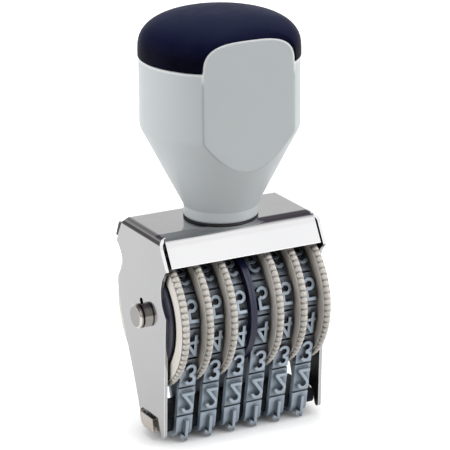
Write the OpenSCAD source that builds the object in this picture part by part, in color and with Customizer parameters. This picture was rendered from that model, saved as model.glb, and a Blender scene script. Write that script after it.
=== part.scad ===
// Hand numbering machine: six rubber type bands, each turned by its own beaded thumb wheel,
// in a bent sheet-steel frame under a round handle with a domed cap.
// Millimetres. X runs along the axle, the front faces -Y, +Z is up.
// The faces of the digits that print lie at z = 0.

/* [Type bands] */
// Width of one rubber band
band_w = 4.13; // [3.6:0.01:4.2]
// Thickness of the bare band between two tiles
web_t = 0.6; // [0.4:0.05:0.8]
// Height of a tile above the bare band
tile_t = 0.7; // [0.4:0.05:1.0]
// Height of a digit above its tile
digit_h = 1.0; // [0.5:0.05:1.3]
// Tiles on one band
tile_count = 14; // [12:1:16]
// Gap between two tiles, along the band
groove_w = 0.55; // [0.3:0.05:1.2]
// Height of a digit
digit_tall = 5.4; // [4.5:0.1:6.0]
// Width of a digit
digit_wide = 3.0; // [2.4:0.1:3.4]
// Width of a digit's stroke
stroke_w = 0.72; // [0.5:0.02:0.9]
// Run from the platen's front corner up to the groove between one and two
groove_rise = 3.9; // [2.5:0.1:5.0]

/* [Thumb wheels] */
// Radius over the beads
wheel_r = 17.3; // [16.5:0.1:17.8]
// Thickness of the beaded rim
wheel_t = 2.0; // [1.6:0.1:2.4]
// Beads around one rim
bead_count = 72; // [48:12:72]
// Radius of one bead
bead_r = 0.8; // [0.6:0.05:0.9]
// Radius of the drum that carries the band
drum_r = 11.8; // [10.5:0.1:12.5]
// Radius of the shallow recess in the outer face
recess_r = 13.6; // [13:0.1:14.5]
// Depth of that recess
recess_d = 0.5; // [0.2:0.05:0.7]

/* [Axle] */
// Radius of the axle
axle_r = 2.9; // [2.2:0.1:3.4]
// Height of the axle above the printing plane
axle_z = 29.7; // [29:0.1:30.5]
// Axle's offset from the handle's centre line, negative towards the front
axle_y = -1.2; // [-1.5:0.1:-0.5]
// How far each end stands out of its side plate
axle_out = 2.3; // [1:0.1:3.5]

/* [Platen] */
// Front face of the platen, ahead of the handle's centre line
platen_front = 8.5; // [8:0.1:9]
// Rear face of the platen, behind the handle's centre line
platen_rear = 3.4; // [2:0.1:3.6]
// Height of the platen's bar
platen_h = 3.4; // [3:0.1:3.7]
// Radius of the two lower corners
platen_corner = 1.2; // [0.8:0.1:1.6]
// How far the platen's ends stand out of the side plates
platen_out = 0.8; // [0.3:0.1:1.2]

/* [Frame] */
// Thickness of the sheet
sheet_t = 0.8; // [0.6:0.05:1.0]
// Clear height between the wheels and the top plate
top_gap = 2.6; // [1.5:0.1:4]
// Outer radius of the bends between the top plate and the side plates
side_bend_r = 2.0; // [1.2:0.1:2.6]
// Depth of the top plate ahead of the handle's centre line, to the line of its front bend
top_front_d = 9.3; // [9:0.1:9.8]
// Depth of the top plate behind that centre line, to the line of its rear bend
top_rear_d = 11.0; // [10.5:0.1:11.5]
// Slope of the front lip, in degrees
lip_slope = 60; // [57:1:64]
// Slope of the rear lip, in degrees
rear_slope = 66; // [62:1:72]
// Drop of the front lip below the top plate's face
lip_drop = 6.3; // [5.5:0.1:6.8]
// Drop of the rear lip below the top plate's face
rear_lip_drop = 5.3; // [5:0.1:6.3]
// Outer radius of the front lip's bend
lip_bend_r = 2.0; // [1.2:0.1:2.6]
// Outer radius of the rear lip's bend
rear_bend_r = 4.2; // [3:0.1:5]
// Height of the legs' ends above the printing plane
foot_z = 1.9; // [1.5:0.1:2.4]
// Clear slit between an end of the front lip and the side plate
lip_slit = 0.7; // [0.3:0.05:1.0]
// How far the rear lip's ends stay inside the outer faces of the side plates
rear_lip_in = 0.3; // [0:0.05:1.0]

/* [Spacers and dividers] */
// Thickness of one centre divider
divider_t = 0.76; // [0.5:0.02:0.78]
// Radius of the centre dividers
divider_r = 15.0; // [14.5:0.1:15.6]
// Thickness of the spacer between a side plate and its wheel
spacer_t = 0.5; // [0.3:0.05:0.6]
// Radius of that spacer
spacer_r = 13.0; // [11:0.1:13.4]

/* [Handle] */
// Radius of the handle
handle_r = 18.57; // [18:0.01:19]
// Radius of the handle's foot
foot_r = 8.7; // [8:0.1:9.5]
// Height of the cylindrical foot
foot_h = 2.7; // [1.5:0.1:4]
// Height of the cone, from the foot up to the line where it meets the cylinder
cone_h = 19.1; // [17:0.1:21]
// Radius that rounds that line
knee_r = 3; // [2:0.5:12]
// Height of the cylinder, up to the cap
barrel_h = 16.3; // [14:0.1:18]
// Turn of the handle on its screw, in degrees, negative when its panel looks to the left
handle_turn = -0.7; // [-3:0.1:3]
// Thickness of the washer under the handle
washer_t = 0.4; // [0.2:0.05:0.6]
// Depth of the flat front panel, below the cylinder's face
panel_depth = 4.12; // [3.2:0.01:4.6]
// How far the sides of the panel's tongue stay inside the panel's own edges
tongue_in = 0.05; // [0.05:0.05:1.2]
// Rise of that tongue into the cap
tongue_h = 6.4; // [5:0.1:6.8]
// Thickness of the tongue
tongue_t = 2.4; // [2.2:0.1:2.8]
// How far the neck that carries the cap stands up past the cap's skirt
neck_rise = 0.7; // [0:0.1:0.8]
// Wall around the hollow inside the handle
core_wall = 4.4; // [3:0.1:6]
// Depth of that hollow below the cap's joint
core_depth = 13.9; // [10:0.1:16]

/* [Cap] */
// How far the cap stands out from the handle, all round
cap_lip = 0.18; // [0.05:0.01:0.5]
// Height of the cap above its joint with the handle
cap_h = 10.5; // [9.8:0.1:12]
// Height of the cap's straight skirt
skirt_h = 1.6; // [1:0.1:2.4]
// Wall of the cap
cap_wall = 1.9; // [1.5:0.1:2.2]
// Radius of the rounding above the tongue
brow_r = 2.8; // [2:0.1:4]
// Radius of the two lower corners beside the tongue
cheek_r = 0.8; // [0.4:0.1:1.2]

/* [Screw] */
// Radius of the screw that holds the handle
screw_r = 2.5; // [2:0.1:3]
// Length of the screw above the top plate's underside
screw_len = 16.4; // [12:0.1:18]
// Radius of the screw's head
screw_head_r = 4.4; // [3.8:0.1:5]
// Height of the screw's head
screw_head_h = 2; // [1.4:0.1:2.2]
// Width of the slot in the screw's head
screw_slot_w = 1.2; // [0.8:0.1:1.6]

/* [Hidden] */
// Running gap between a wheel and what stays still
run = 0.06;
// Gap between two pieces that are seated on each other
seat = 0.02;
// Gap that the drum leaves inside its band
drum_gap = 0.1;
// How far a straight run of the band starts inside the round of its corner
nip = 0.01;
// Facets of a full circle
fine = 96;
// Length of band between its inner face and the top of a tile
band_t = web_t + tile_t;
// Bottom of the platen and of the loop's inside
loop_z = digit_h + band_t;
platen_z = loop_z + seat;
// Loop circles: over the drum, at the platen's front corner, at its rear corner
loop_r = drum_r + drum_gap;
corner_r = platen_corner + seat;
corner_z = loop_z + corner_r;
front_y = -platen_front + platen_corner;
rear_y = platen_rear - platen_corner;
// Direction of the outward normal on the front run and on the rear run
front_d = norm([axle_y - front_y, axle_z - corner_z]);
rear_d = norm([axle_y - rear_y, axle_z - corner_z]);
front_lean = atan2(axle_z - corner_z, axle_y - front_y);
rear_lean = atan2(axle_z - corner_z, axle_y - rear_y);
front_a = front_lean + acos((corner_r - loop_r) / front_d);
rear_a = rear_lean - acos((corner_r - loop_r) / rear_d);
// Lengths along the middle of the web, from the start of the front corner
pr = web_t / 2;
len_1 = (270 - front_a) * PI / 180 * (corner_r + pr);
len_2 = sqrt(pow(front_d, 2) - pow(loop_r - corner_r, 2));
len_3 = (front_a - rear_a) * PI / 180 * (loop_r + pr);
len_4 = sqrt(pow(rear_d, 2) - pow(loop_r - corner_r, 2));
len_5 = (rear_a + 90) * PI / 180 * (corner_r + pr);
len_6 = rear_y - front_y;
band_len = len_1 + len_2 + len_3 + len_4 + len_5 + len_6;
tile_pitch = band_len / tile_count;
// Place of the groove between zero and one
groove_0 = len_1 + groove_rise - tile_pitch;
// Heights up the frame
frame_top = axle_z + wheel_r + top_gap + sheet_t;
lip_z = frame_top - lip_drop;
// Widths across the machine
slot_w = band_w + 2 * run;
divider_x = run / 2;
first_x = divider_x + divider_t;
pitch_x = slot_w + wheel_t;
stack_x = first_x + 3 * pitch_x;
end_gap = 0.66;
inner_x = stack_x + end_gap;
outer_x = inner_x + sheet_t;
drum_len = slot_w - run;
// Ends of the platen's tenon, and the notch around it
tenon_front = 1.75 - platen_front;
tenon_rear = platen_rear - 3.4;
tenon_top = platen_z + platen_h - 0.15;
notch_front = tenon_front - 0.35;
notch_rear = tenon_rear + 0.3;
notch_top = tenon_top + 0.65;
// Heights up the handle
handle_z = frame_top + washer_t;
foot_top = handle_z + foot_h;
knee_z = foot_top + cone_h;
rim_z = knee_z + barrel_h;
tongue_top = rim_z + tongue_h;
neck_top = rim_z + skirt_h + neck_rise;
dome_z = rim_z + skirt_h;
cap_top = rim_z + cap_h;
dome_h = cap_top - dome_z;
screw_top = frame_top - sheet_t + screw_len;
// Widths of the handle; the panel's plane cuts the cylinder at panel_w
panel_y = handle_r - panel_depth;
panel_w = sqrt(pow(handle_r, 2) - pow(panel_y, 2));
tongue_w = panel_w - tongue_in;
tongue_gap = 0.05;
// How square the tongue's arch is; 2 would be an ellipse
arch = 3.1;
cap_r = handle_r + cap_lip;
neck_gap = 0.25;
neck_r = cap_r - cap_wall - neck_gap;
// Hollow in the handle
cavity_r = neck_r - core_wall;
cavity_z = rim_z - core_depth;
// Moves the machine so that the origin lies under the middle of its box
shift_y = (wheel_r - axle_y - cap_r) / 2;
// Longer than any cut needs
far = 4 * cap_r;

// Point at distance d outside centre c, in direction a
function ray(c, d, a) = c + d * [cos(a), sin(a)];
// Cubic curve between a and d
function curve(a, b, c, d, t) =
    pow(1 - t, 3) * a + 3 * t * pow(1 - t, 2) * b + 3 * t * t * (1 - t) * c + pow(t, 3) * d;
// Value of x between 0 and m, wrapped
function wrap(x, m) = x - m * floor(x / m);
// Direction of the outward normal at place s along the band
function lean(s) =
    s < len_1 ? 270 - s / (corner_r + pr) * 180 / PI
    : s < len_1 + len_2 ? front_a
    : s < len_1 + len_2 + len_3 ? front_a - (s - len_1 - len_2) / (loop_r + pr) * 180 / PI
    : s < len_1 + len_2 + len_3 + len_4 ? rear_a
    : s < band_len - len_6 ? rear_a - (s - len_1 - len_2 - len_3 - len_4) / (corner_r + pr) * 180 / PI
    : -90;
// Foot of that normal on the inside of the loop, as [y, z]
function foot(s) =
    s < len_1 ? ray([front_y, corner_z], corner_r, lean(s))
    : s < len_1 + len_2
        ? ray([front_y, corner_z], corner_r, front_a) + (s - len_1) * [sin(front_a), -cos(front_a)]
    : s < len_1 + len_2 + len_3 ? ray([axle_y, axle_z], loop_r, lean(s))
    : s < len_1 + len_2 + len_3 + len_4
        ? ray([axle_y, axle_z], loop_r, rear_a)
            + (s - len_1 - len_2 - len_3) * [sin(rear_a), -cos(rear_a)]
    : s < band_len - len_6 ? ray([rear_y, corner_z], corner_r, lean(s))
    : [rear_y - (s - band_len + len_6), corner_z - corner_r];

// Turns a flat shape drawn in (y, z) into a plate of thickness t that starts at x
module along_x(x, t) {
    translate([x, 0, 0])
        rotate([90, 0, 90])
            linear_extrude(t)
                children();
}

// Puts a piece in the part's own frame
module centred() {
    translate([0, shift_y, 0])
        children();
}

// Disc about the axle, from x to x + t
module axle_disc(x, t, r) {
    translate([x, axle_y, axle_z])
        rotate([0, 90, 0])
            cylinder(r = r, h = t, $fn = fine);
}

// Loop around drum and platen, o outside the band's inner face
module loop(o) {
    big = loop_r + o;
    small = corner_r + o;
    translate([axle_y, axle_z])
        circle(r = big, $fn = fine);
    translate([front_y, corner_z])
        circle(r = small, $fn = fine);
    translate([rear_y, corner_z])
        circle(r = small, $fn = fine);
    polygon([
        ray([axle_y, axle_z], big - nip, front_a),
        ray([front_y, corner_z], small - nip, front_a),
        [front_y, corner_z],
        [front_y, corner_z - small],
        [rear_y, corner_z - small],
        [rear_y, corner_z],
        ray([rear_y, corner_z], small - nip, rear_a),
        ray([axle_y, axle_z], big - nip, rear_a),
        [axle_y, axle_z]
    ]);
}

// Ring of outer radius r and stroke width, kept between angles a and b
module ring_part(r, a, b) {
    n = ceil(abs(b - a) / 60);
    intersection() {
        difference() {
            circle(r = r, $fn = 32);
            circle(r = r - stroke_w, $fn = 32);
        }
        if (b - a < 360)
            polygon(concat([[0, 0]], [for (i = [0 : n]) ray([0, 0], 2 * r, a + (b - a) * i / n)]));
        else
            circle(r = 2 * r, $fn = 4);
    }
}

// Straight stroke from p to q
module stroke(p, q) {
    d = (q - p) / norm(q - p) * stroke_w / 2;
    polygon([p + [-d[1], d[0]], p + [d[1], -d[0]], q + [d[1], -d[0]], q + [-d[1], d[0]]]);
}

// Digits, upright and centred
module digit(n) {
    w = digit_wide / 2;
    h = digit_tall / 2;
    s = stroke_w / 2;
    up = h - w;
    if (n == 0) {
        translate([0, up])
            ring_part(w, 0, 180);
        translate([0, -up])
            ring_part(w, 180, 360);
        stroke([-w + s, up + 0.01], [-w + s, -up - 0.01]);
        stroke([w - s, up + 0.01], [w - s, -up - 0.01]);
    }
    if (n == 1) {
        stroke([0.3, -h], [0.3, h]);
        stroke([0.35, h - s], [-w * 0.7, h - 1.5]);
    }
    if (n == 2) {
        translate([0, up])
            ring_part(w, -40, 175);
        stroke([(w - s) * cos(40) + 0.15, up - (w - s) * sin(40) + 0.2], [-w + s, -h + s]);
        stroke([-w, -h + s], [w, -h + s]);
    }
    if (n == 3) {
        translate([0, h - w * 0.93])
            ring_part(w * 0.93, -100, 160);
        translate([0, -h + w])
            ring_part(w, -160, 100);
    }
    if (n == 4) {
        stroke([w * 0.5, -h], [w * 0.5, h]);
        stroke([w * 0.45, h - s], [-w + 0.2, -h * 0.3]);
        stroke([-w, -h * 0.32], [w, -h * 0.32]);
    }
    if (n == 5) {
        stroke([-w + 0.3, h - s], [w - 0.1, h - s]);
        stroke([-w + 0.3 + s, h], [-w + 0.3 + s, -h + w * 1.75]);
        translate([0, -h + w])
            ring_part(w, -160, 135);
    }
    if (n == 6 || n == 9)
        rotate(n == 9 ? 180 : 0) {
            translate([0, -h + w])
                ring_part(w, 0, 360);
            stroke([-w + s, -h + w], [-w + s, h - w]);
            translate([0, h - w])
                ring_part(w, 20, 180);
        }
    if (n == 7) {
        stroke([-w, h - s], [w, h - s]);
        stroke([w - s - 0.1, h - 0.2], [-0.3, -h]);
    }
    if (n == 8) {
        translate([0, h - w * 0.92])
            ring_part(w * 0.92, 0, 360);
        translate([0, -h + w])
            ring_part(w, 0, 360);
    }
}

// Rubber band with its tiles and raised digits; x is its left edge
module type_band(x) {
    color([0.42, 0.47, 0.53])
        centred() {
            along_x(x, band_w)
                difference() {
                    loop(band_t);
                    loop(0);
                    for (k = [0 : tile_count - 1]) {
                        s = wrap(groove_0 + k * tile_pitch, band_len);
                        translate(ray(foot(s), web_t, lean(s)))
                            rotate(lean(s))
                                translate([0, -groove_w / 2])
                                    square([3, groove_w]);
                    }
                }
            for (k = [0 : 9]) {
                s = wrap(groove_0 + (k - 0.5) * tile_pitch, band_len);
                p = ray(foot(s), seat, lean(s));
                translate([x + band_w / 2, p[0], p[1]])
                    rotate([lean(s) - 90, 0, 0])
                        linear_extrude(band_t + digit_h - seat)
                            mirror([0, 1])
                                digit(k);
            }
        }
}

// Thumb wheel with its drum; x is the outer face of its rim, the drum points to the machine's middle
module thumb_wheel(x) {
    core_r = wheel_r - bead_r - 0.1;
    color([0.9, 0.88, 0.84])
        centred()
            difference() {
                union() {
                    axle_disc(x, wheel_t, core_r);
                    axle_disc(x + wheel_t - 0.1, drum_len + 0.1, drum_r);
                    translate([x + wheel_t / 2, axle_y, axle_z])
                        for (i = [0 : bead_count - 1])
                            rotate([i * 360 / bead_count, 0, 0])
                                translate([0, 0, wheel_r - bead_r])
                                    sphere(r = bead_r, $fn = 24);
                }
                axle_disc(x - 1, recess_d + 1, recess_r);
                axle_disc(x - 1, wheel_t + drum_len + 2, axle_r + run);
                difference() {
                    axle_disc(x + wheel_t, drum_len + 1, drum_r - 1.6);
                    axle_disc(x + wheel_t - 1, drum_len + 3, axle_r + 1.8);
                }
            }
}

// Side plate's outline, from the top plate down to the leg, drawn in (y, z)
module side_outline() {
    tilt = 1 / tan(lip_slope);
    edge = top_front_d - 0.4;
    shoulder_z = axle_z + 2.5;
    waist = [11.2, axle_z + 6.9];
    lip_corner = [edge + lip_drop * tilt, lip_z];
    hook = [notch_rear + 1.6, foot_z + 3.3];
    n = 12;
    difference() {
        polygon(concat(
            [[-edge, frame_top],
             [-edge - (lip_drop + 1) * tilt, lip_z - 1],
             [-12.4, shoulder_z],
             [-12.35, shoulder_z - 0.4],
             [-11.65, 22],
             [-11.05, 12],
             [-10.7, foot_z + 0.9],
             [-10.4, foot_z + 0.3],
             [-9.8, foot_z],
             [-9.2, foot_z + 0.3],
             [-8.9, foot_z + 0.9],
             [-8.75, foot_z + 1.4],
             [notch_front - 0.85, foot_z + 3.4],
             [notch_front, notch_top],
             [notch_rear, notch_top],
             [notch_rear + 0.9, foot_z + 3.7],
             [notch_rear + 1.3, foot_z + 3],
             hook],
            [for (i = [1 : n])
                curve(hook, hook + [2.7, 10], waist + [4.4, -3.2], waist, i / n)],
            [for (i = [1 : n])
                curve(waist, waist + [-2.3, 2.4], lip_corner + [-3.24, -2.7], lip_corner, i / n)],
            [[edge, frame_top]]
        ));
        translate([-17.48, axle_z + 7.9])
            circle(r = 7.45, $fn = fine);
    }
}

// Half of the top plate with one lip, o inside the outer faces, drawn in (y, z)
module half_lip(d, r, slope, drop, o) {
    c = [d - r * tan(slope / 2), frame_top - r];
    a = 90 - slope;
    tip = ray([d + drop / tan(slope), frame_top - drop], -o, a);
    intersection() {
        translate(c)
            circle(r = r - o, $fn = fine);
        translate(c - [r, r] / 8)
            square(2 * r);
    }
    polygon([
        [-1, frame_top - o],
        [c[0], frame_top - o],
        c,
        ray(c, r - o, a),
        tip,
        [-1, tip[1]]
    ]);
}

// Top plate with both lips, o inside their outer faces
module lip_section(o) {
    half_lip(top_rear_d, rear_bend_r, rear_slope, rear_lip_drop, o);
    mirror([1, 0])
        half_lip(top_front_d, lip_bend_r, lip_slope, lip_drop, o);
}

// Filled U of the frame, o inside its outer faces, drawn in (x, z)
module channel_section(o) {
    r = side_bend_r - o;
    c = outer_x - side_bend_r;
    for (m = [-1, 1])
        translate([m * c, frame_top - side_bend_r])
            circle(r = r, $fn = fine);
    translate([-c, -1])
        square([2 * c, frame_top - o + 1]);
    translate([-outer_x + o, -1])
        square([2 * (outer_x - o), frame_top - side_bend_r + 1]);
}

// Section of the top sheet with its lips, drawn in (y, z)
module lip_sheet() {
    difference() {
        lip_section(0);
        lip_section(sheet_t);
    }
}

// Section of the side plates and their bends, drawn in (x, z)
module side_sheet() {
    difference() {
        channel_section(0);
        channel_section(sheet_t);
        translate([-outer_x + side_bend_r, 0])
            square([2 * (outer_x - side_bend_r), frame_top + 1]);
    }
}

// Frame, bent from one sheet: top plate, two sloping lips and two shaped side plates
module frame() {
    top_w = outer_x - side_bend_r;
    lip_w = inner_x - lip_slit;
    rear_w = outer_x - rear_lip_in;
    color([0.8, 0.8, 0.82])
        centred()
            difference() {
                union() {
                    intersection() {
                        along_x(-outer_x, 2 * outer_x)
                            side_outline();
                        translate([0, far / 2, 0])
                            rotate([90, 0, 0])
                                linear_extrude(far)
                                    side_sheet();
                    }
                    along_x(-top_w, 2 * top_w)
                        lip_sheet();
                    along_x(-lip_w, 2 * lip_w)
                        intersection() {
                            lip_sheet();
                            translate([-top_front_d + 0.65 - far, 0])
                                square([far, frame_top + 1]);
                        }
                    along_x(-rear_w, 2 * rear_w)
                        intersection() {
                            lip_sheet();
                            square([far, frame_top - 2 * sheet_t]);
                        }
                }
                axle_disc(-outer_x - 1, 2 * outer_x + 2, axle_r + seat);
                translate([-outer_x - 1, axle_y + 1.1, axle_z + 3.1])
                    rotate([0, 90, 0])
                        cylinder(r = 0.85, h = 2 * outer_x + 2, $fn = 32);
                translate([0, 0, frame_top - 2 * sheet_t])
                    cylinder(r = screw_r + seat, h = 3 * sheet_t, $fn = fine);
            }
}

// Axle with chamfered ends
module axle() {
    half = outer_x + axle_out;
    color([0.75, 0.73, 0.7])
        centred()
            translate([0, axle_y, axle_z])
                rotate([0, 90, 0])
                    rotate_extrude($fn = fine)
                        polygon([
                            [0, -half],
                            [axle_r - 0.4, -half],
                            [axle_r, -half + 0.4],
                            [axle_r, half - 0.4],
                            [axle_r - 0.4, half],
                            [0, half]
                        ]);
}

// Platen: a bar between the side plates, with an end tenon through each plate's notch
module platen() {
    c = platen_corner;
    color([0.7, 0.68, 0.65])
        centred() {
            along_x(-inner_x + seat, 2 * (inner_x - seat))
                union() {
                    translate([front_y, platen_z + c])
                        circle(r = c, $fn = fine);
                    translate([rear_y, platen_z + c])
                        circle(r = c, $fn = fine);
                    translate([front_y, platen_z])
                        square([rear_y - front_y, platen_h]);
                    translate([front_y - c, platen_z + c])
                        square([rear_y - front_y + 2 * c, platen_h - c]);
                }
            along_x(-outer_x - platen_out, 2 * (outer_x + platen_out))
                polygon([
                    [tenon_front, platen_z + 0.2],
                    [tenon_front + 0.2, platen_z],
                    [tenon_rear - 1.9, platen_z],
                    [tenon_rear - 0.7, platen_z + 0.6],
                    [tenon_rear, platen_z + 1.8],
                    [tenon_rear, tenon_top - 0.2],
                    [tenon_rear - 0.2, tenon_top],
                    [tenon_front + 0.65, tenon_top]
                ]);
        }
}

// Rounded knee between cone and cylinder, as [radius, height]
function knee_curve(n) =
    let(
        a = atan2(handle_r - foot_r, knee_z - foot_top),
        cut = knee_r * tan(a / 2),
        c = [handle_r - knee_r, knee_z + cut]
    )
    [for (i = [0 : n]) ray(c, knee_r, -a + a * i / n)];

// Outline of the tongue, drawn in (x, z), grown by g
module tongue(g) {
    a = tongue_w + g;
    b = tongue_h + 0.4 + g;
    n = 28;
    translate([0, rim_z - 0.4])
        polygon(concat(
            [[a, -panel_depth]],
            [for (i = [0 : n])
                let(t = 180 * i / n)
                [a * sign(cos(t)) * pow(abs(cos(t)), 2 / arch), b * pow(sin(t), 2 / arch)]],
            [[-a, -panel_depth]]
        ));
}

// Opening for the tongue, with its two lower corners rounded outwards
module tongue_opening() {
    rise = (cheek_r + 0.4) / (tongue_h + 0.4);
    side = (tongue_w + tongue_gap) * pow(1 - pow(rise, arch), 1 / arch);
    a = side + cheek_r - nip;
    z = rim_z + seat + cheek_r - nip;
    tongue(tongue_gap);
    difference() {
        translate([-a, z - 2 * cheek_r])
            square([2 * a, 2 * cheek_r]);
        for (m = [-1, 1])
            translate([m * a, z])
                circle(r = cheek_r, $fn = 48);
    }
}

// Everything behind a plane across the machine at y, from the front
module behind(y) {
    translate([-far / 2, y, 0])
        cube([far, far, 2 * far]);
}

// Turns a piece about the handle's own axis
module turned() {
    centred()
        rotate(handle_turn)
            children();
}

// Grey handle with a flat front panel whose tongue stands up into the cap
module handle_body() {
    color([0.75, 0.77, 0.77])
        turned()
            difference() {
                union() {
                    rotate_extrude($fn = fine)
                        polygon(concat(
                            [[0, handle_z],
                             [foot_r - 0.3, handle_z],
                             [foot_r, handle_z + 0.3],
                             [foot_r, foot_top]],
                            knee_curve(6),
                            [[handle_r, rim_z - 0.25],
                             [handle_r - 0.25, rim_z],
                             [0, rim_z]]
                        ));
                    intersection() {
                        translate([0, 0, rim_z - 1])
                            cylinder(r = neck_r, h = neck_top - rim_z + 1, $fn = fine);
                        behind(-panel_y + cap_wall + neck_gap);
                    }
                    intersection() {
                        translate([0, -panel_y + tongue_t, 0])
                            rotate([90, 0, 0])
                                linear_extrude(tongue_t + 1)
                                    tongue(0);
                        cylinder(r = handle_r, h = tongue_top + 1, $fn = fine);
                    }
                }
                translate([-far / 2, -panel_y - far, foot_top])
                    cube([far, far, far]);
                translate([0, 0, cavity_z])
                    cylinder(r = cavity_r, h = far, $fn = fine);
                translate([0, 0, handle_z - 1])
                    cylinder(r = screw_r + seat, h = screw_top - handle_z + 1.5, $fn = fine);
            }
}

// Profile of the dome as [radius, height], s inside the outer skin
function dome(s) = [for (i = [0 : 18])
    let(t = 90 * i / 18)
    [(cap_r - s) * pow(cos(t), 2 / 2.6), dome_z + (dome_h - s) * pow(sin(t), 2 / 2.6)]];

// Space behind the panel's plane, rounded over above the tongue; drawn in (y, z)
module behind_panel() {
    z = tongue_top + 0.1;
    runout = 17;
    translate([-panel_y, 0])
        square([far, z]);
    translate([-panel_y + brow_r, z])
        circle(r = brow_r, $fn = fine);
    translate([-panel_y + brow_r * (1 - sin(runout)), 0])
        square([far, cap_top + 1]);
}

// Domed cap with a skirt, cut out at the front for the tongue
module handle_cap() {
    color([0.06, 0.07, 0.2])
        turned()
            difference() {
                intersection() {
                    rotate_extrude($fn = fine)
                        polygon(concat(
                            [[0, rim_z + seat], [cap_r - 0.2, rim_z + seat], [cap_r, rim_z + 0.2]],
                            dome(0)
                        ));
                    along_x(-far / 2, far)
                        behind_panel();
                }
                intersection() {
                    rotate_extrude($fn = fine)
                        polygon(concat([[0, rim_z - 1], [cap_r - cap_wall, rim_z - 1]], dome(cap_wall)));
                    behind(-panel_y + cap_wall);
                }
                translate([0, -panel_y + tongue_t + tongue_gap, 0])
                    rotate([90, 0, 0])
                        linear_extrude(2 * tongue_t + panel_depth)
                            tongue_opening();
            }
}

// Thin black washer between the handle and the top plate
module handle_washer() {
    color([0.03, 0.03, 0.03])
        centred()
            translate([0, 0, frame_top + seat])
                difference() {
                    cylinder(r = foot_r + 0.05, h = washer_t - 2 * seat, $fn = fine);
                    translate([0, 0, -1])
                        cylinder(r = screw_r + seat, h = 3, $fn = fine);
                }
}

// Screw that holds the handle, put in from under the top plate
module handle_screw() {
    head_z = frame_top - sheet_t - seat;
    color([0.7, 0.7, 0.72])
        centred()
            difference() {
                union() {
                    translate([0, 0, head_z - screw_head_h])
                        cylinder(r = screw_head_r, h = screw_head_h, $fn = fine);
                    translate([0, 0, head_z - 0.1])
                        cylinder(r = screw_r, h = screw_len, $fn = fine);
                }
                translate([-far / 2, -screw_slot_w / 2, head_z - 1.5 * screw_head_h])
                    cube([far, screw_slot_w, screw_head_h]);
            }
}

// Thin disc between the two middle bands; x is its left face
module band_divider(x) {
    color([0.08, 0.09, 0.2])
        centred()
            difference() {
                axle_disc(x, divider_t, divider_r);
                axle_disc(x - 1, divider_t + 2, axle_r + seat);
            }
}

// Thin disc between a side plate and the recess of its wheel; x is its left face
module side_spacer(x) {
    color([0.05, 0.05, 0.1])
        centred()
            difference() {
                axle_disc(x, spacer_t, spacer_r);
                axle_disc(x - 1, spacer_t + 2, axle_r + seat);
            }
}

// Left edges of wheel and band number i, counted from the left
function wheel_x(i) = -stack_x + (i - 1) * pitch_x;
function band_x(i) = wheel_x(i) + wheel_t + run;

frame();
axle();
platen();
handle_body();
handle_cap();
handle_washer();
handle_screw();
thumb_wheel(wheel_x(1));  // thumb_wheel_1
thumb_wheel(wheel_x(2));  // thumb_wheel_2
thumb_wheel(wheel_x(3));  // thumb_wheel_3
mirror([1, 0, 0]) thumb_wheel(wheel_x(3));  // thumb_wheel_4
mirror([1, 0, 0]) thumb_wheel(wheel_x(2));  // thumb_wheel_5
mirror([1, 0, 0]) thumb_wheel(wheel_x(1));  // thumb_wheel_6
type_band(band_x(1));  // type_band_1
type_band(band_x(2));  // type_band_2
type_band(band_x(3));  // type_band_3
type_band(-band_x(3) - band_w);  // type_band_4
type_band(-band_x(2) - band_w);  // type_band_5
type_band(-band_x(1) - band_w);  // type_band_6
band_divider(-divider_x - divider_t);  // band_divider_left
band_divider(divider_x);  // band_divider_right
side_spacer(-inner_x + seat);  // side_spacer_left
side_spacer(inner_x - seat - spacer_t);  // side_spacer_right
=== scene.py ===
import math
import bpy
from mathutils import Matrix, Vector

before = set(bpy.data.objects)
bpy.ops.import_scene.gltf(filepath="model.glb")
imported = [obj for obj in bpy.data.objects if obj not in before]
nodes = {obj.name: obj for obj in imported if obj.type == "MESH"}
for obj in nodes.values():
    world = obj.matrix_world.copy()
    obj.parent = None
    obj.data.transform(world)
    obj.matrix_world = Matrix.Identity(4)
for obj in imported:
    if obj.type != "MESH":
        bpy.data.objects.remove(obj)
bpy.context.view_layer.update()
scene = bpy.context.scene

# Lengths are in metres, Z is up and the machine's front looks to -Y.
MM = 0.001

# Places on the CAD part where a material changes; a pair says where the change starts and where it ends
HOUSING_MIDDLE = (0.0, -1.2 * MM, 30 * MM)  # on the axle, half way along
PLATE_OUTSIDE_X = (20.90 * MM, 20.95 * MM)  # just inside the outer faces of the side plates
PLATE_INSIDE_X = (20.0 * MM, 20.4 * MM)  # the inner faces of the side plates
GROOVE_START_X = (21.95 * MM, 22.05 * MM)  # the near-black band of painted shade near each end of the axle; no groove is cut there
GROOVE_END_X = (22.40 * MM, 22.50 * MM)
DOWN_THE_LIP = (0.0, -0.866, -0.5)  # direction across the fold between the top plate and the front lip
FOLD = (-19.9 * MM, -14.3 * MM)  # that fold, measured in that direction
FOLD_SHADING = -6.6 * MM  # its bump height before the bell curve, whose peak is 1/16
FOLD_LOWEST_Z = (40 * MM, 42 * MM)
CAP_FOOT_Z = (86 * MM, 87.5 * MM)
# where the cap's painted shade turns into its painted sheen
CAP_SHADE_TO_SHEEN_Z = (89 * MM, 99 * MM)
# heights where painted light on the lower tiles and painted shade on the upper tiles fade in
LOWER_TILES_Z = (10 * MM, 22 * MM)
UPPER_TILES_Z = (33 * MM, 43 * MM)
FLOOR_FADE = (0.25, 1.0)  # distance from the origin over which the floor turns wholly white


def direction(turn, rise):
    """Unit vector at an azimuth and an elevation in degrees; 0, 0 is straight ahead of the front, 90, 0 its right."""
    turn, rise = math.radians(turn), math.radians(rise)
    return Vector((math.sin(turn) * math.cos(rise), -math.cos(turn) * math.cos(rise), math.sin(rise)))


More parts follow.
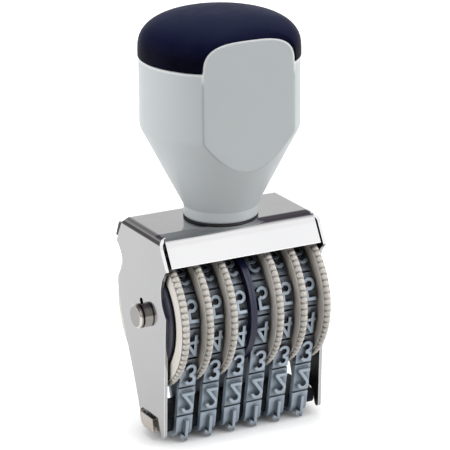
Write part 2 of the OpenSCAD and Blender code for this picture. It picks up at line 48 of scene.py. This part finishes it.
# ---------------------------------------------------------------- camera, fitted to the photograph
AZIMUTH, ELEVATION, ROLL = -28.16, 18.23, math.radians(-0.44)
TARGET, DISTANCE = Vector((0.001486, 0.000561, 0.047401)), 0.60532
SENSOR_MM, FOCAL_PX, IMAGE_PX = 36.0, 2590.05, 450.0

back = direction(AZIMUTH, ELEVATION)
right = (-back).cross(Vector((0, 0, 1))).normalized()
up = right.cross(-back)
x_axis = math.cos(ROLL) * right + math.sin(ROLL) * up
y_axis = -math.sin(ROLL) * right + math.cos(ROLL) * up
place = Matrix((x_axis, y_axis, back)).transposed().to_4x4()
place.translation = TARGET + DISTANCE * back
cam_data = bpy.data.cameras.new("camera")
cam_data.sensor_width = SENSOR_MM
cam_data.lens = SENSOR_MM * FOCAL_PX / IMAGE_PX
cam_data.clip_start, cam_data.clip_end = 0.05, 10.0
camera = bpy.data.objects.new("camera", cam_data)
scene.collection.objects.link(camera)
camera.matrix_world = place
scene.camera = camera


# ---------------------------------------------------------------- node tools
class Tree:
    """A material's nodes, with one short call for each kind of node."""

    def __init__(self, tree):
        self.tree = tree

    def node(self, kind, outlet, inputs=None, **settings):
        """Adds a node with the given settings and inputs, and gives back one of its outputs."""
        new = self.tree.nodes.new(kind)
        for key, value in settings.items():
            setattr(new, key, value)
        for key, value in (inputs or {}).items():
            self.put(value, new.inputs[key])
        return new.outputs[outlet]

    def put(self, value, socket):
        """Links a node's output to the socket, or sets the socket to a constant."""
        if isinstance(value, bpy.types.NodeSocket):
            self.tree.links.new(value, socket)
        elif isinstance(value, tuple) and socket.type == "RGBA":
            socket.default_value = (*value, 1.0)
        else:
            socket.default_value = value

    def noise(self, scale, detail=4.0, rough=0.5, stretch=(1, 1, 1)):
        coord = self.node("ShaderNodeTexCoord", "Object")
        there = self.node("ShaderNodeMapping", "Vector", {"Vector": coord, "Scale": stretch})
        return self.node("ShaderNodeTexNoise", "Fac", {
            "Vector": there, "Scale": scale, "Detail": detail, "Roughness": rough})

    def facing(self, name):
        """One part of the flat face's normal, X, Y or Z."""
        flat = self.node("ShaderNodeNewGeometry", "True Normal")
        return self.node("ShaderNodeSeparateXYZ", name, {"Vector": flat})

    def axis(self, name):
        """How far along X, Y or Z the point lies."""
        coord = self.node("ShaderNodeTexCoord", "Object")
        return self.node("ShaderNodeSeparateXYZ", name, {"Vector": coord})

    def span(self, value, lo, hi, start=0.3, end=0.7):
        """Goes from lo to hi while the value goes from start to end, which by default suit a noise."""
        return self.node("ShaderNodeMapRange", "Result", {
            "Value": value, "From Min": start, "From Max": end, "To Min": lo, "To Max": hi})

    def math(self, operation, a, b=0.0):
        return self.node("ShaderNodeMath", 0, {0: a, 1: b}, operation=operation)

    def mix(self, fac, a, b):
        return self.node("ShaderNodeMix", 2, {0: fac, 6: a, 7: b}, data_type="RGBA")

    def ramp(self, value, stops):
        """Colours or grey levels at positions between 0 and 1."""
        node = self.tree.nodes.new("ShaderNodeValToRGB")
        band = node.color_ramp
        while len(band.elements) < len(stops):
            band.elements.new(0.5)
        for mark, (position, level) in zip(band.elements, stops):
            mark.position = position
            mark.color = (*level, 1.0) if isinstance(level, tuple) else (level, level, level, 1.0)
        self.put(value, node.inputs["Fac"])
        return node.outputs["Color"]

    def dot(self, a, b):
        return self.node("ShaderNodeVectorMath", "Value", {0: a, 1: b}, operation="DOT_PRODUCT")

    def rounded(self, radius, samples=6):
        return self.node("ShaderNodeBevel", "Normal", {"Radius": radius}, samples=samples)

    def hollow(self, reach):
        """0 deep in a gap, 1 out in the open."""
        return self.node("ShaderNodeAmbientOcclusion", "AO", {"Distance": reach}, samples=6)

    def inward(self, centre):
        """1 where a face looks towards the centre, 0 where it looks away from it."""
        flat = self.node("ShaderNodeNewGeometry", "True Normal")
        there = self.node("ShaderNodeNewGeometry", "Position")
        arm = self.node("ShaderNodeVectorMath", "Vector", {0: there, 1: centre}, operation="SUBTRACT")
        return self.span(self.dot(flat, arm), 1.0, 0.0, -0.5 * MM, 0.5 * MM)

    def edges(self, radius, low=0.02, high=0.25):
        """1 on a sharp edge, 0 on a flat face."""
        flat = self.node("ShaderNodeNewGeometry", "Normal")
        return self.span(self.dot(flat, self.rounded(radius)), 0.0, 1.0, 1.0 - low, 1.0 - high)

    def bump(self, height, strength, depth, normal):
        return self.node("ShaderNodeBump", "Normal", {
            "Height": height, "Strength": strength, "Distance": depth, "Normal": normal})

    def ray_kind(self, *kinds):
        """1 for a ray of one of the given kinds."""
        rays = [self.node("ShaderNodeLightPath", "Is %s Ray" % kind) for kind in kinds]
        total = rays[0]
        for ray in rays[1:]:
            total = self.math("MAXIMUM", total, ray)
        return total


def material(name, **sockets):
    """A new material, its tree, and the inputs of its Principled shader with the given sockets set."""
    mat = bpy.data.materials.new(name)
    mat.use_nodes = True
    tree = Tree(mat.node_tree)
    mat.node_tree.nodes.clear()
    shader = mat.node_tree.nodes.new("ShaderNodeBsdfPrincipled")
    out = mat.node_tree.nodes.new("ShaderNodeOutputMaterial")
    tree.put(shader.outputs["BSDF"], out.inputs["Surface"])
    for key, value in sockets.items():
        shader.inputs[key.replace("_", " ")].default_value = value
    return mat, tree, shader.inputs


# ---------------------------------------------------------------- materials
def front_fold(t, sideways):
    """Bump height that softens the fold between the top plate and the front lip; 0 on the side plates."""
    down = t.dot(t.node("ShaderNodeTexCoord", "Object"), DOWN_THE_LIP)
    part = t.span(down, 0.0, 1.0, *FOLD)
    bell = t.math("POWER", t.math("MULTIPLY", part, t.math("SUBTRACT", 1.0, part)), 2.0)
    height = t.math("MULTIPLY", t.span(sideways, FOLD_SHADING, 0.0, 0.5, 0.6),
                    t.span(t.axis("Z"), 0.0, 1.0, *FOLD_LOWEST_Z))
    return t.math("MULTIPLY", bell, height)


def plated_sheet():
    """Nickel-plated sheet: nearly a mirror outside; painted dark inside the housing and on its cut ends as painted
    shade, and rougher there.
    """
    mat, t, skin = material("plated_sheet", Metallic=1.0)
    sideways = t.math("ABSOLUTE", t.facing("X"))
    # Faces across X that are not the outer faces, which are the plates' inner faces and the cut ends, get painted
    # shade
    cut_end_shade = t.math("MULTIPLY", t.span(sideways, 0.0, 1.0, 0.7, 0.8),
                     t.span(t.math("ABSOLUTE", t.axis("X")), 1.0, 0.0, *PLATE_OUTSIDE_X))
    inside = t.math("MAXIMUM", t.inward(HOUSING_MIDDLE), cut_end_shade)
    tone = t.mix(t.noise(70.0), (0.41, 0.41, 0.415), (0.375, 0.375, 0.38))
    # Lighter colour on the edges is partly wear and partly a painted highlight
    wear_and_highlight = t.mix(t.edges(0.3 * MM), tone, (0.80, 0.80, 0.81))
    # The near-black colour inside the housing is painted shade, not a colour of the sheet
    t.put(t.mix(inside, wear_and_highlight, (0.060, 0.058, 0.054)), skin["Base Color"])
    streak = t.noise(500.0, 6.0, 0.65, (1, 1, 0.06))
    dull = t.math("MULTIPLY", inside, 0.3)
    t.put(t.math("ADD", t.span(streak, 0.06, 0.14), dull), skin["Roughness"])
    folded = t.bump(front_fold(t, sideways), 1.0, 1.0, t.rounded(0.15 * MM))
    wave = t.bump(t.noise(45.0, 1.0), 0.05, 0.6 * MM, folded)
    t.put(t.bump(streak, 0.05, 0.02 * MM, wave), skin["Normal"])
    return mat


def turned_steel():
    """Bright steel of the axle and the screw; painted shade darkens the axle's end faces and makes a near-black band
    near each end, where no groove is cut.
    """
    mat, t, skin = material("turned_steel", Metallic=1.0)
    tone = t.mix(t.noise(150.0), (0.62, 0.585, 0.55), (0.50, 0.47, 0.44))
    out = t.math("ABSOLUTE", t.axis("X"))
    # A near-black band of painted shade near each end of the axle, where no groove is cut
    groove = t.math("MULTIPLY", t.span(out, 0.0, 1.0, *GROOVE_START_X), t.span(out, 1.0, 0.0, *GROOVE_END_X))
    # Faces across X, the axle's end faces, are painted darker as painted shade
    end = t.span(t.math("ABSOLUTE", t.facing("X")), 0.0, 1.0, 0.90, 0.95)
    end_shade = t.mix(end, tone, (0.27, 0.265, 0.25))
    # Lighter colour on the edges is partly wear and partly a painted highlight
    wear_and_highlight = t.mix(t.edges(0.3 * MM), end_shade, (0.70, 0.67, 0.63))
    t.put(t.mix(groove, wear_and_highlight, (0.006, 0.006, 0.006)), skin["Base Color"])
    marks = t.noise(1500.0, 5.0, 0.6, (1, 0.15, 0.15))
    t.put(t.span(marks, 0.10, 0.20), skin["Roughness"])
    t.put(t.bump(marks, 0.08, 0.02 * MM, t.rounded(0.25 * MM)), skin["Normal"])
    return mat


def platen_steel():
    """The platen: bright at its two ends; painted shade makes it dark and rougher between the side plates, where the
    bands run.
    """
    mat, t, skin = material("platen_steel", Metallic=1.0)
    tone = t.mix(t.noise(150.0), (0.50, 0.46, 0.42), (0.40, 0.37, 0.34))
    # Painted shade darkens the platen between the side plates
    painted_shade = t.span(t.math("ABSOLUTE", t.axis("X")), 1.0, 0.0, *PLATE_INSIDE_X)
    t.put(t.mix(painted_shade, tone, (0.020, 0.024, 0.030)), skin["Base Color"])
    marks = t.noise(1100.0, 5.0, 0.6, (0.2, 1, 1))
    dull = t.math("MULTIPLY", painted_shade, 0.3)
    t.put(t.math("ADD", t.span(marks, 0.20, 0.34), dull), skin["Roughness"])
    t.put(t.bump(marks, 0.08, 0.02 * MM, t.rounded(0.3 * MM)), skin["Normal"])
    return mat


def handle_grey():
    """Moulded grey plastic: a fine grain, a darker line of painted shade round the panel, and a pale line of painted
    highlight where it meets the cap.
    """
    mat, t, skin = material("handle_grey", IOR=1.48)
    tone = t.mix(t.noise(40.0, 3.0), (0.545, 0.580, 0.590), (0.520, 0.555, 0.565))
    below_cap = t.span(t.axis("Z"), 1.0, 0.0, *CAP_FOOT_Z)
    # A darker line round the panel, stronger on the left, is painted shade
    left_more = t.span(t.axis("X"), 0.9, 0.2, 4 * MM, 10 * MM)
    panel_edge_shade = t.math("MULTIPLY", t.edges(0.6 * MM, 0.01, 0.05), t.math("MULTIPLY", below_cap, left_more))
    # A near-white line on the edges above the cap's foot is a painted highlight
    lip = t.math("MULTIPLY", t.edges(0.9 * MM, 0.003, 0.04), t.math("SUBTRACT", 1.0, below_cap))
    lined = t.mix(panel_edge_shade, tone, (0.34, 0.36, 0.37))
    t.put(t.mix(lip, lined, (0.95, 0.96, 0.97)), skin["Base Color"])
    t.put(t.span(t.noise(260.0, 5.0), 0.38, 0.48), skin["Roughness"])
    # The panel's edges are rounder between the foot and the cap: radii in centimetres by height in decimetres
    radius = t.ramp(t.math("MULTIPLY", t.axis("Z"), 10.0),
                    [(0.56, 0.04), (0.62, 0.12), (0.83, 0.12), (0.885, 0.05)])
    soft = t.rounded(t.math("MULTIPLY", radius, 0.01), 8)
    t.put(t.bump(t.noise(1400.0, 5.0, 0.6), 0.05, 0.03 * MM, soft), skin["Normal"])
    return mat


def cap_navy():
    """The navy cap: satin plastic; a painted sheen makes its crown paler and painted shade makes its foot nearly
    black.
    """
    mat, t, skin = material("cap_navy", IOR=1.07, Specular_IOR_Level=0.25)
    # Colour by height is painted light: nearly black low down as painted shade, paler on the crown as a painted sheen
    height = t.span(t.axis("Z"), 0.0, 1.0, *CAP_SHADE_TO_SHEEN_Z)
    tone = t.ramp(height, [(0.25, (0.0010, 0.0012, 0.0045)), (0.60, (0.0045, 0.0055, 0.025)),
                           (0.92, (0.015, 0.019, 0.047))])
    rubbed = t.mix(t.span(t.noise(90.0, 5.0), 0.0, 0.25), tone, (0.030, 0.033, 0.060))
    t.put(t.mix(t.edges(0.3 * MM), rubbed, (0.010, 0.011, 0.035)), skin["Base Color"])
    t.put(t.span(t.noise(300.0, 5.0), 0.34, 0.44), skin["Roughness"])
    t.put(t.bump(t.noise(1600.0, 5.0, 0.6), 0.05, 0.03 * MM, t.rounded(0.4 * MM)), skin["Normal"])
    return mat


def wheel_ivory():
    """Ivory nylon of the thumb wheels: slightly translucent, with painted shade browning its hollows and a painted
    highlight on its edges.
    """
    mat, t, skin = material("wheel_ivory", IOR=1.5, Subsurface_Weight=0.05, Subsurface_Scale=0.6 * MM)
    skin["Subsurface Radius"].default_value = (1.0, 0.7, 0.45)
    tone = t.mix(t.noise(90.0), (0.76, 0.725, 0.675), (0.68, 0.64, 0.585))
    # Painted shade: darker and browner in gaps and hollows
    unshaded = t.math("MULTIPLY", t.span(t.hollow(3.5 * MM), 0.0, 1.0, 0.36, 0.72),
                   t.span(t.hollow(0.8 * MM), 0.1, 1.0, 0.50, 0.88))
    shaded_tone = t.mix(unshaded, (0.125, 0.112, 0.094), tone)
    # Paler edges and beads are a painted highlight
    t.put(t.mix(t.edges(0.2 * MM, 0.015, 0.18), shaded_tone, (0.93, 0.90, 0.85)), skin["Base Color"])
    t.put(t.span(t.noise(400.0, 5.0), 0.38, 0.52), skin["Roughness"])
    t.put(t.bump(t.noise(1800.0, 5.0, 0.6), 0.06, 0.03 * MM, t.rounded(0.1 * MM)), skin["Normal"])
    return mat


def band_rubber():
    """Blue-grey stamp rubber: painted shade darkens its hollows, its deep gaps and the loop high up; the lower tiles
    are paler with painted light, and the raised edges carry a painted highlight.
    """
    mat, t, skin = material("band_rubber", IOR=1.46)
    tone = t.mix(t.noise(120.0, 5.0, 0.6), (0.58, 0.68, 0.78), (0.48, 0.575, 0.67))
    # Painted light: the lower tiles are painted paler
    low_painted_light = t.span(t.axis("Z"), 0.85, 0.0, *LOWER_TILES_Z)
    # Painted shade in hollows, in deep gaps and on the upper tiles
    open_face = t.math("MAXIMUM", t.span(t.hollow(1.8 * MM), 0.0, 1.0, 0.52, 0.95),
                       t.math("MULTIPLY", low_painted_light, 0.45))
    in_light = t.math("MAXIMUM", t.span(t.hollow(12 * MM), 0.03, 1.0, 0.24, 0.54), low_painted_light)
    unshaded = t.math("MULTIPLY", open_face, in_light)
    unshaded = t.math("MULTIPLY", unshaded, t.span(t.axis("Z"), 1.0, 0.30, *UPPER_TILES_Z))
    painted_shade = t.mix(unshaded, (0.006, 0.010, 0.017), tone)
    # Paler raised edges are a painted highlight
    t.put(t.mix(t.edges(0.2 * MM), painted_shade, (0.66, 0.74, 0.83)), skin["Base Color"])
    t.put(t.span(t.noise(500.0, 5.0), 0.46, 0.62), skin["Roughness"])
    t.put(t.bump(t.noise(2200.0, 6.0, 0.7), 0.2, 0.04 * MM, t.rounded(0.2 * MM)), skin["Normal"])
    return mat


def dark_plastic(name, tone, wear_and_highlight, rough):
    """Thin dark discs: the dividers, the spacers and the washer."""
    mat, t, skin = material(name, IOR=1.48)
    shade = t.mix(t.noise(130.0), tone, tuple(0.7 * c for c in tone))
    # Lighter colour on the disc edges is partly wear and partly a painted highlight on their rims
    t.put(t.mix(t.edges(0.2 * MM), shade, wear_and_highlight), skin["Base Color"])
    t.put(t.span(t.noise(400.0, 5.0), 0.85 * rough, 1.2 * rough), skin["Roughness"])
    t.put(t.bump(t.noise(1500.0, 5.0, 0.6), 0.08, 0.03 * MM, t.rounded(0.15 * MM)), skin["Normal"])
    return mat


def paint(mat, *names):
    """Gives CAD nodes one material."""
    for name in names:
        nodes[name].data.materials.clear()
        nodes[name].data.materials.append(mat)


numbers = range(1, 7)
paint(plated_sheet(), "frame")
paint(turned_steel(), "axle", "handle_screw")
paint(platen_steel(), "platen")
paint(handle_grey(), "handle_body")
paint(cap_navy(), "handle_cap")
paint(wheel_ivory(), *["thumb_wheel_%d" % i for i in numbers])
paint(band_rubber(), *["type_band_%d" % i for i in numbers])
paint(dark_plastic("divider_navy", (0.008, 0.009, 0.038), (0.070, 0.080, 0.200), 0.30),
      "band_divider_left", "band_divider_right")
paint(dark_plastic("spacer_dark", (0.010, 0.011, 0.032), (0.030, 0.032, 0.075), 0.4),
      "side_spacer_left", "side_spacer_right")
paint(dark_plastic("washer_black", (0.012, 0.012, 0.013), (0.03, 0.03, 0.03), 0.6), "handle_washer")


# ---------------------------------------------------------------- floor and light
def white_floor(size, colour, glow, reach):
    """White for rays that show it, and wholly so far out; grey where the object stands close over it, a painted
    shadow.
    """
    mesh = bpy.data.meshes.new("floor")
    h = size / 2
    mesh.from_pydata([(-h, -h, 0), (h, -h, 0), (h, h, 0), (-h, h, 0)], [], [(0, 1, 2, 3)])
    floor = bpy.data.objects.new("floor", mesh)
    floor.location.z = -0.02 * MM
    scene.collection.objects.link(floor)
    mat, t, skin = material("floor_white", Roughness=0.8, Emission_Color=(1, 1, 1, 1))
    skin["Base Color"].default_value = (colour, colour, colour, 1)
    out = t.node("ShaderNodeVectorMath", "Value", {0: t.node("ShaderNodeTexCoord", "Object")}, operation="LENGTH")
    shown = t.math("MULTIPLY", t.ray_kind("Camera", "Glossy", "Transmission"), t.span(out, glow, 1.0, *FLOOR_FADE))
    # The glow dims where the object stands close over the floor: a painted contact shadow
    t.put(t.math("MULTIPLY", shown, t.hollow(reach)), skin["Emission Strength"])
    floor.data.materials.append(mat)


def studio_world(level, ceiling, front, lamp):
    """White for the camera; in mirrors white low behind the object, dark overhead, grey in front with one lamp.

    For every other ray it is a dim fill light of the given level."""
    world = bpy.data.worlds.new("studio")
    scene.world = world
    world.use_nodes = True
    t = Tree(world.node_tree)
    world.node_tree.nodes.clear()
    ray = t.node("ShaderNodeTexCoord", "Generated")
    height = t.node("ShaderNodeSeparateXYZ", "Z", {"Vector": ray})
    depth = t.node("ShaderNodeSeparateXYZ", "Y", {"Vector": ray})
    sky = t.ramp(height, [(0.31, 1.0), (0.42, 0.70), (0.58, ceiling), (1.0, ceiling)])
    room = t.mix(t.span(depth, 0.0, 1.0, -0.5, 0.1), front, sky)
    towards = t.dot(ray, Vector((0.45, -0.69, 0.57)).normalized())
    room = t.mix(t.span(towards, 0.0, 1.0, 0.66, 0.97), room, (lamp, lamp, lamp))
    shown = t.mix(t.ray_kind("Camera"), room, (1.0, 1.0, 1.0))
    dim = t.node("ShaderNodeBackground", "Background", {"Color": (1, 1, 1), "Strength": level})
    bright = t.node("ShaderNodeBackground", "Background", {"Color": shown, "Strength": 1.0})
    mixed = t.node("ShaderNodeMixShader", 0, {
        0: t.ray_kind("Camera", "Glossy", "Transmission"), 1: dim, 2: bright})
    out = world.node_tree.nodes.new("ShaderNodeOutputWorld")
    t.put(mixed, out.inputs["Surface"])


def softbox(name, turn, rise, distance, width, height, level):
    """A soft lamp that mirrors don't show; level is what it adds to a white surface that faces it."""
    data = bpy.data.lights.new(name, "AREA")
    data.shape = "RECTANGLE"
    data.size, data.size_y = width, height
    data.energy = level * math.pi ** 2 * distance ** 2
    lamp = bpy.data.objects.new(name, data)
    scene.collection.objects.link(lamp)
    away = direction(turn, rise)
    lamp.location = Vector((0, 0, 50 * MM)) + away * distance
    lamp.rotation_mode = "QUATERNION"
    lamp.rotation_quaternion = (-away).to_track_quat("-Z", "Y")
    lamp.visible_glossy = False


white_floor(size=6.0, colour=0.62, glow=0.67, reach=10 * MM)
studio_world(level=0.12, ceiling=(0.15, 0.13, 0.16), front=(0.45, 0.45, 0.46), lamp=2.3)
softbox("left", turn=-100, rise=20, distance=1.0, width=0.9, height=0.7, level=0.74)
softbox("right", turn=56, rise=30, distance=1.0, width=1.1, height=0.8, level=0.88)
softbox("back", turn=165, rise=35, distance=1.2, width=0.7, height=0.7, level=0.40)
softbox("top", turn=0, rise=88, distance=1.0, width=0.7, height=0.7, level=0.30)
scene.view_settings.view_transform = "Standard"
